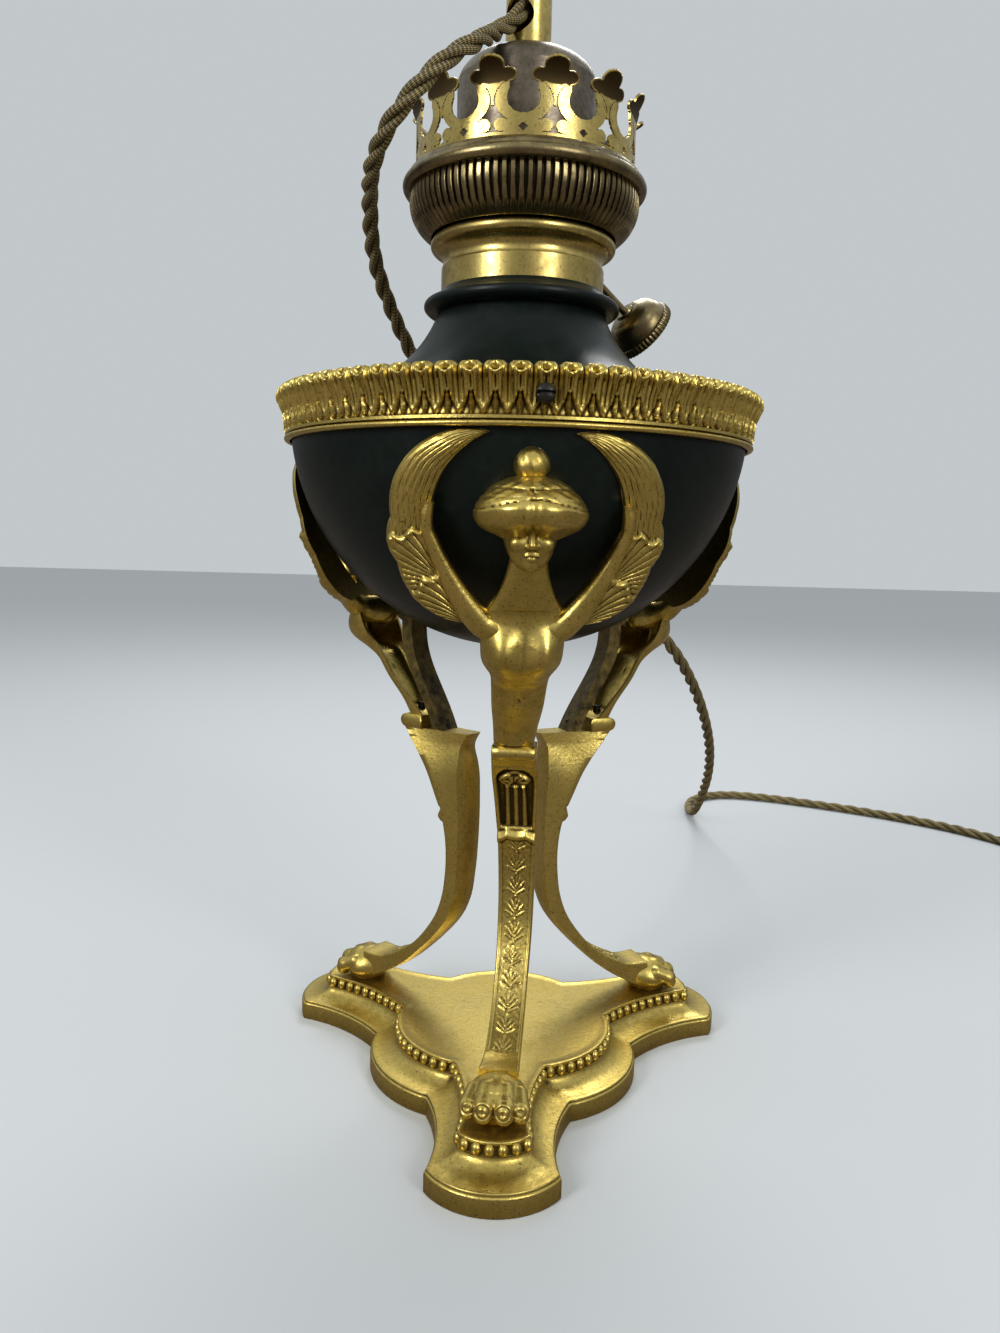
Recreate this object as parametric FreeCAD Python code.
import FreeCAD, Part
import math
import os

# An empire table lamp on a tripod of winged figures, once an oil lamp, now with a lampholder.
# Millimetres, +Z up. The origin is on the floor under the lamp's axis, and one foot points to -Y.

V = FreeCAD.Vector
UP = V(0, 0, 1)
ORIGIN = V(0, 0, 0)
OVERRUN = 1.0            # how far a cutting shape runs past the face it cuts
SLIDE_GAP = 0.3          # between parts that move past each other
RUNNING_GAP = 0.05       # between a shaft and its bearing

# Where the three feet point, in degrees round the axis
FOOT_AZIMUTHS = {"front": -90, "right": 30, "left": 150}
LEG_SKEW = -4.5          # degrees that each leg has turned on its paw's screw
FIGURE_SKEW = 10.0       # degrees that each figure has turned on its waist

# Plinth
PLINTH_REACH = 85.5
PLINTH_HEIGHT = 15.0
PLINTH_WALL = 3.5
PLINTH_POCKET_SHARE = 1.3
# Sideways and outward places of a foot's corner, waist and notch, then its end and the bulge's radius
FLOOR_OUTLINE_SHARES = [(0.222, 0.883), (0.205, 0.749), (0.2655, 0.4503), (0, 1), (0, 0.5427)]
TOP_OUTLINE_SHARES = [(0.1123, 0.8175), (0.1018, 0.690), (0.1614, 0.372), (0, 0.861), (0, 0.421)]
BAND_SHARE = 0.43        # height of the upright band at the floor
STEP_SHARE = 0.05        # how far the hollow moulding starts inside the band
HOLLOW_SHARE = 0.9       # how far in the hollow moulding ends
HOLLOW_TOP_SHARE = 0.70
BEAD_INSET_SHARE = 0.94
LIP_SHARE = 0.955
HOLLOW_STEPS = 3

# Legs, from the plinth's top to the ledge that the figures stand on
LEG_REACH = 71.4
LEG_HEIGHT = 98.5
STRAP_WIDTH = 11.5
# Outer place, inner place and width of each section, paw first: reach, height, reach, height, width
LEG_SECTION_SHARES = [
    (0.798, 0.117, 0.798, 0.020, 1.04),
    (0.658, 0.125, 0.686, 0.051, 0.92),
    (0.483, 0.197, 0.525, 0.128, 0.90),
    (0.353, 0.305, 0.311, 0.282, 0.91),
    (0.289, 0.401, 0.227, 0.388, 0.94),
    (0.263, 0.508, 0.199, 0.504, 0.97),
    (0.261, 0.609, 0.190, 0.609, 1.02),
    (0.284, 0.701, 0.188, 0.711, 1.06),
    (0.325, 0.772, 0.193, 0.802, 1.11),
    (0.378, 0.858, 0.200, 0.888, 1.18),
    (0.441, 0.929, 0.204, 0.949, 1.22),
    (0.522, 1.000, 0.168, 1.000, 1.17),
]
BRACKET_R = 1.7
BRACKET_REACH_SHARE = 0.312
BRACKET_HEIGHT_SHARE = 0.752
LEDGE_HEIGHT = 4.6
LEDGE_WIDTH = 13.0
LEDGE_DEPTH = 7.0
LEDGE_REACH_SHARE = 0.518

# Paws
PAW_R = 8.4
PAW_HEIGHT = 12.0
PAW_CENTRE_SHARE = 0.872
PAW_SHOULDER_SHARES = (0.775, 0.672)
PAW_SAG_SHARES = (-0.1, -0.13)
TOE_R = 2.4
TOE_LENGTH = 6.0
TOE_RISE_SHARE = 0.8
TOE_COUNT = 4
TOE_SPREAD = 12.4
TOE_DROP_SHARE = 0.11
PAW_SCREW_R = 2.0
PAW_SCREW_HEAD_R = 3.6
PAW_SCREW_HEAD_HEIGHT = 2.4
PAW_SCREW_LENGTH = 9.0
SCREW_CLEARANCE = 0.2
SLOT_WIDTH = 0.8
SLOT_DEPTH_SHARE = 0.4

# Bowl, a half ball on the three arms
BOWL_R = 72.0
BOWL_WALL = 1.0
BOWL_LIP = 2.0
ARM_ANGLE = 33.0         # degrees from straight down at which an arm meets the bowl
ARM_HEIGHT = 42.1
ARM_WIDTH = 8.0
ARM_DEPTH = 4.4
ARM_SEAT_SHARE = 0.343
# Outward and upward places along an arm, from its seat on the leg to past the bowl's wall
ARM_LINE_SHARES = [(0, 0), (0.21, 0.154), (0.497, 0.328), (0.762, 0.492), (0.932, 0.641), (1, 0.808),
                   (1.02, 1.07)]
ARM_BOSS_R = 4.2
ARM_BOSS_LENGTH = 6.0
BOWL_SCREW_R = 1.6
BOWL_SCREW_HEAD_R = 3.2
BOWL_SCREW_HEAD_HEIGHT = 2.0
BOWL_SCREW_BITE = 5.0
DOWEL_R = 1.3
DOWEL_LENGTH = 7.0

# Figures, from the ledge up
FIGURE_REACH = 26.0
FIGURE_HEIGHT = 48.0
SHOULDER_WIDTH = 24.4
FIGURE_WALL = 1.4
FIGURE_GAP = 0.3         # between the castings and the bowl that they stand before
# Back place, front place and width of each section, waist first: reach, height, reach, height, width
FIGURE_SECTION_SHARES = [
    (-0.142, 0.000, 0.142, 0.000, 0.53),
    (0.069, 0.131, 0.238, 0.115, 0.55),
    (0.277, 0.269, 0.431, 0.260, 0.60),
    (0.415, 0.398, 0.577, 0.390, 0.65),
    (0.500, 0.477, 0.808, 0.465, 0.72),
    (0.573, 0.560, 1.000, 0.565, 0.80),
    (0.654, 0.648, 0.992, 0.673, 0.88),
    (0.723, 0.748, 0.946, 0.785, 0.95),
    (0.792, 0.844, 0.969, 0.881, 1.00),
    (0.846, 0.910, 1.015, 0.944, 0.78),
    (0.900, 0.969, 1.092, 1.006, 0.45),
]
CHEST_SHARES = (0.44, 0.46)
HOLLOW_FIRST = 1         # the sections between which the casting is hollow behind
HOLLOW_LAST = 6
NECK_R = 4.9
NECK_TOP_R = 4.3
NECK_FOOT_SHARES = (1.0, 0.93)
HEAD_REACH = 35.3
CHIN_HEIGHT = 52.5
HEAD_R = 8.2
HEAD_HEIGHT = 22.9
HAIR_R = 14.2
BUN_R = 5.2
# Each as a share of the head's or the hair's radius, of the head's height, and the arc's sag share
JAW_SHARES = (0.62, 0.12, -0.12)
CHEEK_SHARES = (1, 0.45, -0.08)
HAIR_UNDER_SHARE = 0.8
HAIR_BRIM_SHARES = (1, 0.61, -0.207)
HAIR_DOME_SHARES = (0.78, 0.82, -0.12)
CROWN_SAG_SHARE = -0.1
BUN_SEAT_SHARE = 0.6

# Wings
WING_SPAN = 37.4
WING_HEIGHT = 50.0
WING_THICKNESS = 3.0
WING_CURVE_R = 180.0
WING_TILT = 19.0
WING_ROOT_GAP = 14.352
WING_ROOT_HEIGHT = 39.9
# Sideways and upward places: outer edge from the tip down, root, and inner edge back to the tip
WING_TIP_SHARES = (0.294, 0.99)
WING_ARC_SHARES = [
    ((0.842, 0.855), (0.973, 0.507)),
    ((1.0, 0.391), (0.925, 0.264)),
    ((0.829, 0.095), (0.481, -0.05)),
]
WING_ROOT_SHARES = (0.24, 0.0)
WING_INNER_SHARES = [((0.495, 0.233), (0.674, 0.476)), ((0.626, 0.723), (0.294, 0.99))]

# Rim ring, shoulder cover and font
RING_REACH = 3.0
RING_RISE = 6.5
RING_DROP = 9.0
RING_LIP = 1.0
RING_BEAD = 1.6
RING_CROWN = 1.6
RING_LAP = 2.6
RING_SAG_SHARES = (0.06, -0.3)
RING_FIT = 0.1
RIM_SCREW_TURN = 6.5
RIM_SCREW_DROP = 2.0
RIM_SCREW_R = 1.3
RIM_SCREW_HEAD_R = 2.5
RIM_SCREW_HEAD_HEIGHT = 1.5
COVER_WALL = 1.0
COVER_SKIRT = 12.0
COVER_EDGE_RISE = 4.4
COVER_SHELF_R = 60.0
COVER_SHELF_RISE = 2.0
COVER_THROAT_R = 26.2
COVER_THROAT_RISE = 27.6
COVER_SAG_SHARE = 0.142
COVER_BEAD_R = 30.7
COVER_BEAD_HEIGHT = 7.2
FONT_R = 54.0
FONT_WALL = 0.8
FONT_DEPTH = 42.0
FONT_CORNER = 14.0
FONT_FLANGE_DROP = 4.0

# Collar and burner
COLLAR_R = 25.5
COLLAR_BAND = 6.8
COLLAR_LAP = 1.3
COLLAR_SPIGOT = 9.0
COLLAR_BORE_R = 23.0
BURNER_WALL = 1.0
BURNER_DEPTH = 12.0
CAVETTO_HEIGHT = 5.0
CAVETTO_R = 26.8
CAVETTO_SAG_SHARE = 0.2
TORUS_R = 28.6
TORUS_HEIGHT = 4.0
TORUS_SAG_SHARE = 0.35
BASKET_R = 35.6
BASKET_FOOT_R = 29.3
BASKET_TOP_R = 35.1
BASKET_HEIGHT = 14.5
BASKET_BELLY_SHARE = 0.85
BASKET_SAG_SHARES = (0.16, 0.03)
BASKET_WALL = 0.7
BASKET_SLOTS = 90
BASKET_SLOT_WIDTH = 0.95
SLOT_FOOT_SHARE = 0.08
SLOT_HEAD_SHARE = 0.93
FLANGE_R = 37.4
FLANGE_HEIGHT = 6.7
FLANGE_LAP = 1.4
FLANGE_BELLY_SHARE = 0.6
FLANGE_SAG_SHARES = (-0.3, -0.12)
FLOOR_BORE_R = 23.0
FLOOR_PLATE = 0.8

# Pierced gallery
GALLERY_R = 33.9
GALLERY_WALL = 0.7
GALLERY_UNITS = 12
GALLERY_BAND = 13.0
LOOP_R = 4.5
LOOP_HEIGHT = 9.2
LOOP_MOUTH = 5.2
DIAMOND = 2.4
DIAMOND_HEIGHT = 2.9
KITE_WIDTH = 3.4
KITE_HEIGHT = 5.4
KITE_FOOT = 1.3
LEAF_LOBE_R = 2.3
LEAF_SPREAD = 3.1
LEAF_RISE = 2.4
LEAF_TIP_RISE = 5.4
LEAF_STEM = 2.6
LEAF_FLARE = 3.8
LEAF_HEIGHT = 8.6

# Wick and its tubes
WICK_TUBE_R = 12.0
WICK_TUBE_WALL = 0.6
WICK_TUBE_RISE = 6.0
DRAUGHT_TUBE_R = 8.2
DRAUGHT_TUBE_WALL = 0.5
WICK_R = 10.4
WICK_BORE_R = 8.5
CARRIER_R = 11.1
CARRIER_HEIGHT = 4.0
WICK_LENGTH = 120.0
WICK_TOP_DROP = 3.0
WICK_GAP_ANGLE = 56.0
PORT_WIDTH = 5.0
PORT_HEIGHT = 7.0
PORT_WALL = 0.5
PORT_RISE = 16.0
WICK_TRAVEL = 12.0

# Wick winder, on a slanting shaft
WINDER_AZIMUTH = 31.0
WINDER_SLOPE = 35.0
KNOB_REACH = 47.0
KNOB_DROP = 12.0
KNOB_R = 9.8
KNOB_RIM = 2.2
KNOB_DOME = 4.6
KNOB_NECK_R = 3.2
KNOB_NECK = 4.5
KNOB_WAIST_R = 2.6
KNOB_SAG_SHARES = (0.12, -0.2)
KNOB_DISH_R = 6.9
KNOB_DISH = 0.9
KNOB_KNURLS = 48
KNURL_DEPTH = 0.3
SHAFT_R = 1.25
BUSH_R = 2.2
BUSH_INNER_REACH = 20.6
BUSH_OUTER_REACH = 29.0
PINION_REACH = 17.8
PINION_R = 4.0
PINION_TEETH = 10
PINION_WIDTH = 3.0
TOOTH_RISE = 0.6
TOOTH_ROOT = 0.9
TOOTH_FOOT_SHARE = 0.44
TOOTH_TIP_SHARE = 0.16
RACK_BACK = 2.4
RACK_WIDTH = 3.6

# Adapter dome, tube and lampholder
DOME_R = 21.5
DOME_WALL = 0.8
DOME_SKIRT = 26.3
DOME_RISE = 8.0
DOME_FLANGE_R = 32.6
DOME_SHOULDER_SHARES = (0.707, 0.707)
DOME_SAG_SHARES = (0.11, 0.09)
TUBE_R = 7.0
TUBE_WALL = 1.0
TUBE_LENGTH = 43.0
TUBE_FOOT = 9.0
TUBE_HOLE_R = 5.2
TUBE_HOLE_RISE = 10.1
TUBE_HOLE_AZIMUTH = 236.0
NUT_R = 10.5
NUT_HEIGHT = 4.0
NUT_DROP = 0.5
HOLDER_NECK_R = 8.8
HOLDER_NECK = 6.0
HOLDER_R = 15.5
HOLDER_CONE = 7.0
HOLDER_SKIRT = 12.0
HOLDER_WALL = 1.0
HOLDER_SAG_SHARE = 0.12
INSULATOR_RIM = 1.0
SLEEVE_BORE_R = 11.2
SLEEVE_WALL = 0.9
SLEEVE_HEIGHT = 22.0
SKIRT_R = 14.0
SKIRT_WALL = 0.9
SKIRT_HEIGHT = 13.0
SLEEVE_FLOOR = 1.2
BAYONET_WIDTH = 2.6
BAYONET_DEPTH = 8.0
BAYONET_TURN = 4.0
SHADE_RING_R = 18.5
SHADE_RING_HEIGHT = 3.4
SHADE_RING_SPACING = 5.2
PLUNGER_R = 2.4
PLUNGER_SPACING = 10.4
PLUNGER_STAND = 6.0
PLUNGER_BITE = 5.0
PLUNGER_NOSE = 1.0
WELL_DEPTH = 10.0
SPRING_R = 2.0
SPRING_WALL = 0.6
BAR_R = 2.2
BAR_LENGTH = 38.0
BAR_TRAVEL = 4.0
BAR_RISE = 4.5
BAR_HOLE_GAP = 0.4

# Flex, its put-away coil and the plug
CORD_R = 2.75
CORD_ROUTE = [
    (-4.0, -5.9, 333.5), (-9.4, -14, 326.5), (-11.5, -30, 317.7), (-22.8, -40.5, 307), (-37, -35.5, 294),
    (-45, -19.2, 287.8), (-48.8, 0, 284.2), (-51.5, 22, 272.8), (-48.6, 43, 260.3), (-43, 62, 247.5),
    (-35, 80, 233.5), (-22, 97, 214.5), (-3, 108.5, 192.5), (20, 114.5, 171.5), (45, 119, 153),
    (67, 131.5, 135.5), (86, 165, 109.5), (102, 207, 76), (109.5, 245, 47), (111, 280, 22), (111, 304, 7),
    (111, 325, 2.75), (115, 351, 2.75), (136, 371, 2.75), (165, 368, 2.75), (202, 352, 2.75),
    (240, 331, 2.75), (275, 304, 2.75), (299, 272, 2.75), (309, 247, 3.3), (310, 232, 4.0),
]
COIL_R = 30.0
COIL_TURNS = 2.5         # in each of the two layers
COIL_CLIMB_TURN = 0.5    # from the lower layer to the upper one
COIL_GAP = 0.5
COIL_DIP_SHARE = 0.3     # how far the coil draws in where it climbs to its upper layer
COIL_TAIL = 44.0
COIL_STEP = 3.0          # between the points on which its gap to itself is measured
COIL_SKIP = 12           # how many points along the wire don't count as another turn
TIE_WALL = 1.1
TIE_WIDTH = 9.0
TIE_FIT = 0.15
TIE_SIDE_GAP = 0.8
PLUG_SIZE = (48.0, 44.0, 24.0)
PLUG_CORNER = 6.0
PLUG_COVER = 14.0
PIN_EARTH = (8.0, 4.0, 22.7)
PIN_LIVE = (6.4, 4.0, 17.7)
PIN_SPREAD = 22.2
PIN_DROP = 22.2
PIN_ROOT = 6.0
PLUG_SCREW_R = 2.0
PLUG_SCREW_HEAD_R = 3.4
PLUG_SCREW_HEAD_HEIGHT = 2.0

# Sag of an arc as a share of its chord
QUARTER = 0.207
HALF = 0.5
MID = 0.5                # halfway along a line or a turn
BEND_SHARE = 0.45        # how much of a straight run its bend may take

# Heights of the main levels, each from the one below
LEG_TOP = PLINTH_HEIGHT + LEG_HEIGHT
WAIST = LEG_TOP + LEDGE_HEIGHT
ARM_TOP = LEG_TOP + ARM_HEIGHT
BOWL_CENTRE = ARM_TOP + BOWL_R * math.cos(math.radians(ARM_ANGLE))
BOWL_TOP = BOWL_CENTRE + BOWL_LIP
COVER_EDGE = BOWL_CENTRE + COVER_EDGE_RISE
THROAT = COVER_EDGE + COVER_THROAT_RISE
COVER_TOP = THROAT + COVER_BEAD_HEIGHT
COLLAR_TOP = COVER_TOP + COLLAR_BAND
TORUS_FOOT = COLLAR_TOP + CAVETTO_HEIGHT
BASKET_FOOT = TORUS_FOOT + TORUS_HEIGHT
FLANGE_FOOT = BASKET_FOOT + BASKET_HEIGHT - FLANGE_LAP
FLANGE_TOP = FLANGE_FOOT + FLANGE_HEIGHT
DOME_FOOT = FLANGE_TOP
DOME_SHOULDER = DOME_FOOT + DOME_SKIRT
DOME_TOP = DOME_SHOULDER + DOME_RISE
TUBE_TOP = DOME_TOP + TUBE_LENGTH - TUBE_FOOT
HOLDER_FOOT = TUBE_TOP - HOLDER_NECK
HOLDER_SHOULDER = TUBE_TOP + HOLDER_CONE
HOLDER_TOP = HOLDER_SHOULDER + HOLDER_SKIRT
INSULATOR_TOP = HOLDER_TOP + SLEEVE_FLOOR + INSULATOR_RIM
SLEEVE_TOP = HOLDER_TOP + SLEEVE_HEIGHT
BURNER_FLOOR = COLLAR_TOP - BURNER_DEPTH
PORT_FOOT = BURNER_FLOOR + PORT_RISE
WICK_TUBE_TOP = FLANGE_TOP + WICK_TUBE_RISE

# Reaches from the axis, and seats that follow from the sizes above
PAW_CENTRE = LEG_REACH * PAW_CENTRE_SHARE
ARM_SEAT = LEG_REACH * ARM_SEAT_SHARE
WAIST_REACH = LEG_REACH * LEDGE_REACH_SHARE - LEDGE_DEPTH / 4
BOWL_BORE_R = BOWL_R - BOWL_WALL
WING_ROOT_DROP = BOWL_CENTRE - WAIST - WING_ROOT_HEIGHT
WING_ROOT_REACH = math.sqrt(BOWL_R ** 2 - WING_ROOT_DROP ** 2) + WING_ROOT_GAP
RING_R = BOWL_R + RING_REACH
BOWL_SCREW_SEAT = BOWL_BORE_R - math.sqrt(BOWL_BORE_R ** 2 - BOWL_SCREW_HEAD_R ** 2)
RIM_SCREW_REACH = BOWL_WALL + RING_BEAD + COVER_WALL + 2 * RIM_SCREW_R
COVER_SKIRT_R = math.sqrt(BOWL_BORE_R ** 2 - (COVER_SKIRT - COVER_EDGE_RISE) ** 2) - RING_FIT
COVER_SHELF_SLOPE = COVER_SHELF_RISE / (COVER_SKIRT_R - COVER_SHELF_R)
COVER_SHELF_GAP = COVER_EDGE_RISE - BOWL_LIP + COVER_SHELF_SLOPE * (COVER_SKIRT_R - BOWL_R + RING_LAP)
COLLAR_SPIGOT_R = COLLAR_R - COLLAR_LAP
RACK_FACE = PINION_R + TOOTH_ROOT


# Helpers: every profile is a list of (reach, height) or, for an arc, (reach, height, sag share)
def outline(*steps):
    """A closed wire in the upright XZ plane. A step's sag share bows its line to the left."""
    edges = []
    for here, step in zip(steps, steps[1:] + steps[:1]):
        start = V(here[0], 0, here[1])
        end = V(step[0], 0, step[1])
        if len(step) == 2:
            edges.append(Part.LineSegment(start, end).toShape())
            continue
        chord = end - start
        left = V(-chord.z, 0, chord.x) * step[2]
        middle = start + chord * MID + left
        edges.append(Part.Arc(start, middle, end).toShape())
    return Part.Wire(edges)


def spun(*steps):
    """The profile turned once round the upright axis."""
    return Part.Face(outline(*steps)).revolve(ORIGIN, UP, 360)


def rod(radius, length, base=ORIGIN, direction=UP):
    return Part.makeCylinder(radius, length, base, direction)


def block(size_x, size_y, size_z, centre_x=0, centre_y=0, foot_z=0):
    corner = V(centre_x - size_x / 2, centre_y - size_y / 2, foot_z)
    return Part.makeBox(size_x, size_y, size_z, corner)


def turned(shape, degrees, pivot=ORIGIN):
    result = shape.copy()
    result.rotate(pivot, UP, degrees)
    return result


def joined(*shapes):
    return shapes[0].fuse(list(shapes[1:])).removeSplitter()


def less(shape, *tools):
    return shape.cut(list(tools))


def largest(shape):
    """The largest solid, without the slivers that a cut leaves."""
    return max(shape.Solids, key=lambda solid: solid.Volume)


def lofted(sections):
    return Part.makeLoft([Part.makePolygon(section + section[:1]) for section in sections], True, False)


def ball(radius):
    """A ball round the centre of the bowl."""
    return Part.makeSphere(radius, V(0, 0, BOWL_CENTRE))


def slotted_screw(head_r, head_height, shank_r, shank_length):
    """A round-headed screw that points down from the origin, its head above."""
    screw = joined(rod(head_r, head_height), rod(shank_r, shank_length, V(0, 0, -shank_length)))
    slot_depth = head_height * SLOT_DEPTH_SHARE
    slot = block(2 * head_r + OVERRUN, SLOT_WIDTH, slot_depth + OVERRUN, foot_z=head_height - slot_depth)
    return less(screw, slot)


def aimed(shape, place, direction):
    """The shape with its +Z along the direction and its origin at the place."""
    result = shape.copy()
    result.Placement = FreeCAD.Placement(place, FreeCAD.Rotation(UP, direction))
    return result


# Plinth
def plinth_wire(inset, height):
    """The three-footed outline, between the one at the floor and the one at the top."""
    shares = []
    for low, high in zip(FLOOR_OUTLINE_SHARES, TOP_OUTLINE_SHARES):
        shares.append([a + (b - a) * inset for a, b in zip(low, high)])
    corner, waist, notch, end, bulge = [V(out, side, 0) * PLINTH_REACH for side, out in shares]
    edges = []
    for azimuth in FOOT_AZIMUTHS.values():
        def place(point, side=1, turn=0):
            spot = FreeCAD.Rotation(UP, azimuth + turn).multVec(V(point.x, side * point.y, 0))
            return spot + V(0, 0, height)
        edges.append(Part.Arc(place(notch, -1), place(waist, -1), place(corner, -1)).toShape())
        edges.append(Part.Arc(place(corner, -1), place(end), place(corner)).toShape())
        edges.append(Part.Arc(place(corner), place(waist), place(notch)).toShape())
        edges.append(Part.Arc(place(notch), place(bulge, 1, 60), place(notch, -1, 120)).toShape())
    return Part.Wire(edges)


def base_plinth():
    levels = [(0, 0), (0, BAND_SHARE), (STEP_SHARE, BAND_SHARE + STEP_SHARE / 3)]
    for step in range(1, HOLLOW_STEPS + 1):
        angle = math.radians(90 * step / HOLLOW_STEPS)
        inset = STEP_SHARE + (HOLLOW_SHARE - STEP_SHARE) * math.sin(angle)
        rise = BAND_SHARE + STEP_SHARE / 3 + (HOLLOW_TOP_SHARE - BAND_SHARE) * (1 - math.cos(angle))
        levels.append((inset, rise))
    levels += [(BEAD_INSET_SHARE, HOLLOW_TOP_SHARE + STEP_SHARE), (BEAD_INSET_SHARE, LIP_SHARE), (1, 1)]
    wires = [plinth_wire(inset, rise * PLINTH_HEIGHT) for inset, rise in levels]
    plinth = Part.makeLoft(wires, True, True)
    pocket = Part.Face(plinth_wire(PLINTH_POCKET_SHARE, -OVERRUN))
    plinth = less(plinth, pocket.extrude(V(0, 0, PLINTH_HEIGHT - PLINTH_WALL + OVERRUN)))
    for azimuth in FOOT_AZIMUTHS.values():
        hole = rod(PAW_SCREW_R + SCREW_CLEARANCE, PLINTH_HEIGHT, V(PAW_CENTRE, 0, 0))
        plinth = less(plinth, turned(hole, azimuth))
    return plinth


def paw_screws():
    head_face = PLINTH_HEIGHT - PLINTH_WALL
    screw = slotted_screw(PAW_SCREW_HEAD_R, PAW_SCREW_HEAD_HEIGHT, PAW_SCREW_R, PAW_SCREW_LENGTH)
    screw = aimed(screw, V(PAW_CENTRE, 0, head_face), V(0, 0, -1))
    return Part.Compound([turned(screw, azimuth) for azimuth in FOOT_AZIMUTHS.values()])


# Legs
def cross_section(row, reach, height, width):
    outer_r, outer_z, inner_r, inner_z, across = row
    half = across * width / 2
    outer = V(outer_r * reach, 0, outer_z * height)
    inner = V(inner_r * reach, 0, inner_z * height)
    side = V(0, half, 0)
    return [outer - side, outer + side, inner + side, inner - side]


def paw():
    """A domed paw with a row of round toes, its sole on the plinth."""
    reach, rise = PAW_SHOULDER_SHARES
    side_sag, top_sag = PAW_SAG_SHARES
    dome = spun((0, 0), (PAW_R, 0), (PAW_R * reach, PAW_HEIGHT * rise, side_sag), (0, PAW_HEIGHT, top_sag))
    toes = []
    for index in range(TOE_COUNT):
        side = TOE_SPREAD * (index / (TOE_COUNT - 1) - MID)
        front = LEG_REACH - PAW_CENTRE - TOE_R - TOE_DROP_SHARE * side * side / TOE_R
        knuckle = V(front, side, TOE_R * TOE_RISE_SHARE)
        toes.append(joined(Part.makeSphere(TOE_R, knuckle), rod(TOE_R, TOE_LENGTH, knuckle, V(-1, 0, 0))))
    sole = block(4 * PAW_R, 4 * PAW_R, PAW_R, foot_z=-PAW_R)
    result = less(joined(dome, *toes), sole)
    result.translate(V(PAW_CENTRE, 0, PLINTH_HEIGHT))
    return result


def plain_leg():
    """One leg in its own upright plane, before it is turned to its foot."""
    sections = [cross_section(row, LEG_REACH, LEG_HEIGHT, STRAP_WIDTH) for row in LEG_SECTION_SHARES]
    strap = lofted(sections)
    strap.translate(V(0, 0, PLINTH_HEIGHT))
    bracket_at = V(LEG_REACH * BRACKET_REACH_SHARE, -STRAP_WIDTH / 2,
                   PLINTH_HEIGHT + LEG_HEIGHT * BRACKET_HEIGHT_SHARE)
    bracket = rod(BRACKET_R, STRAP_WIDTH, bracket_at, V(0, 1, 0))
    ledge_front = LEG_REACH * LEDGE_REACH_SHARE
    ledge = block(LEDGE_DEPTH, LEDGE_WIDTH, LEDGE_HEIGHT, ledge_front - LEDGE_DEPTH / 2, 0, LEG_TOP)
    nosing = rod(LEDGE_HEIGHT / 2, LEDGE_WIDTH, V(ledge_front, -LEDGE_WIDTH / 2, LEG_TOP + LEDGE_HEIGHT / 2),
                 V(0, 1, 0))
    screw_hole = rod(PAW_SCREW_R, PAW_SCREW_LENGTH - PLINTH_WALL, V(PAW_CENTRE, 0, PLINTH_HEIGHT))
    leg = joined(strap, paw(), bracket, ledge, nosing)
    return less(leg, screw_hole, dowel(ARM_SEAT, LEG_TOP), dowel(WAIST_REACH, WAIST))


def on_leg(shape, azimuth):
    """Turned with its leg on the paw's screw, then to its foot."""
    return turned(turned(shape, LEG_SKEW, V(PAW_CENTRE, 0, 0)), azimuth)


def on_waist(shape, azimuth):
    """Turned with its figure on the waist, then with its leg."""
    return on_leg(turned(shape, FIGURE_SKEW, V(WAIST_REACH, 0, 0)), azimuth)


def dowel(reach, height):
    return rod(DOWEL_R, DOWEL_LENGTH, V(reach, 0, height - DOWEL_LENGTH / 2))


def arm_dowels():
    return Part.Compound([on_leg(dowel(ARM_SEAT, LEG_TOP), a) for a in FOOT_AZIMUTHS.values()])


def waist_dowels():
    return Part.Compound([on_leg(dowel(WAIST_REACH, WAIST), a) for a in FOOT_AZIMUTHS.values()])


# Arms that carry the bowl
def arm_direction():
    """From the bowl's centre to where an arm meets it."""
    angle = math.radians(ARM_ANGLE)
    return V(math.sin(angle), 0, -math.cos(angle))


def bowl_screw():
    """From inside the bowl into the end of an arm."""
    screw = slotted_screw(BOWL_SCREW_HEAD_R, BOWL_SCREW_HEAD_HEIGHT, BOWL_SCREW_R, BOWL_SCREW_BITE)
    place = V(0, 0, BOWL_CENTRE) + arm_direction() * (BOWL_BORE_R - BOWL_SCREW_SEAT)
    return aimed(screw, place, arm_direction() * -1)


def plain_arm():
    seat = V(ARM_SEAT, 0, LEG_TOP)
    tip = V(0, 0, BOWL_CENTRE) + arm_direction() * BOWL_R
    half_depth = ARM_DEPTH / 2
    half_width = ARM_WIDTH / 2
    sections = []
    for out, up in ARM_LINE_SHARES:
        spot = V(seat.x + (tip.x - seat.x) * out, 0, seat.z + (tip.z - seat.z) * up)
        corners = [(half_depth, -half_width), (half_depth, half_width),
                   (-half_depth, half_width), (-half_depth, -half_width)]
        sections.append([spot + V(x, y, 0) for x, y in corners])
    boss = rod(ARM_BOSS_R, ARM_BOSS_LENGTH + OVERRUN, tip - arm_direction() * OVERRUN, arm_direction())
    return less(joined(lofted(sections), boss), dowel(ARM_SEAT, LEG_TOP), bowl_screw())


def support_arm(azimuth):
    return largest(less(on_leg(plain_arm(), azimuth), ball(BOWL_R)))


def bowl_screws():
    return Part.Compound([on_leg(bowl_screw(), azimuth) for azimuth in FOOT_AZIMUTHS.values()])


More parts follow.
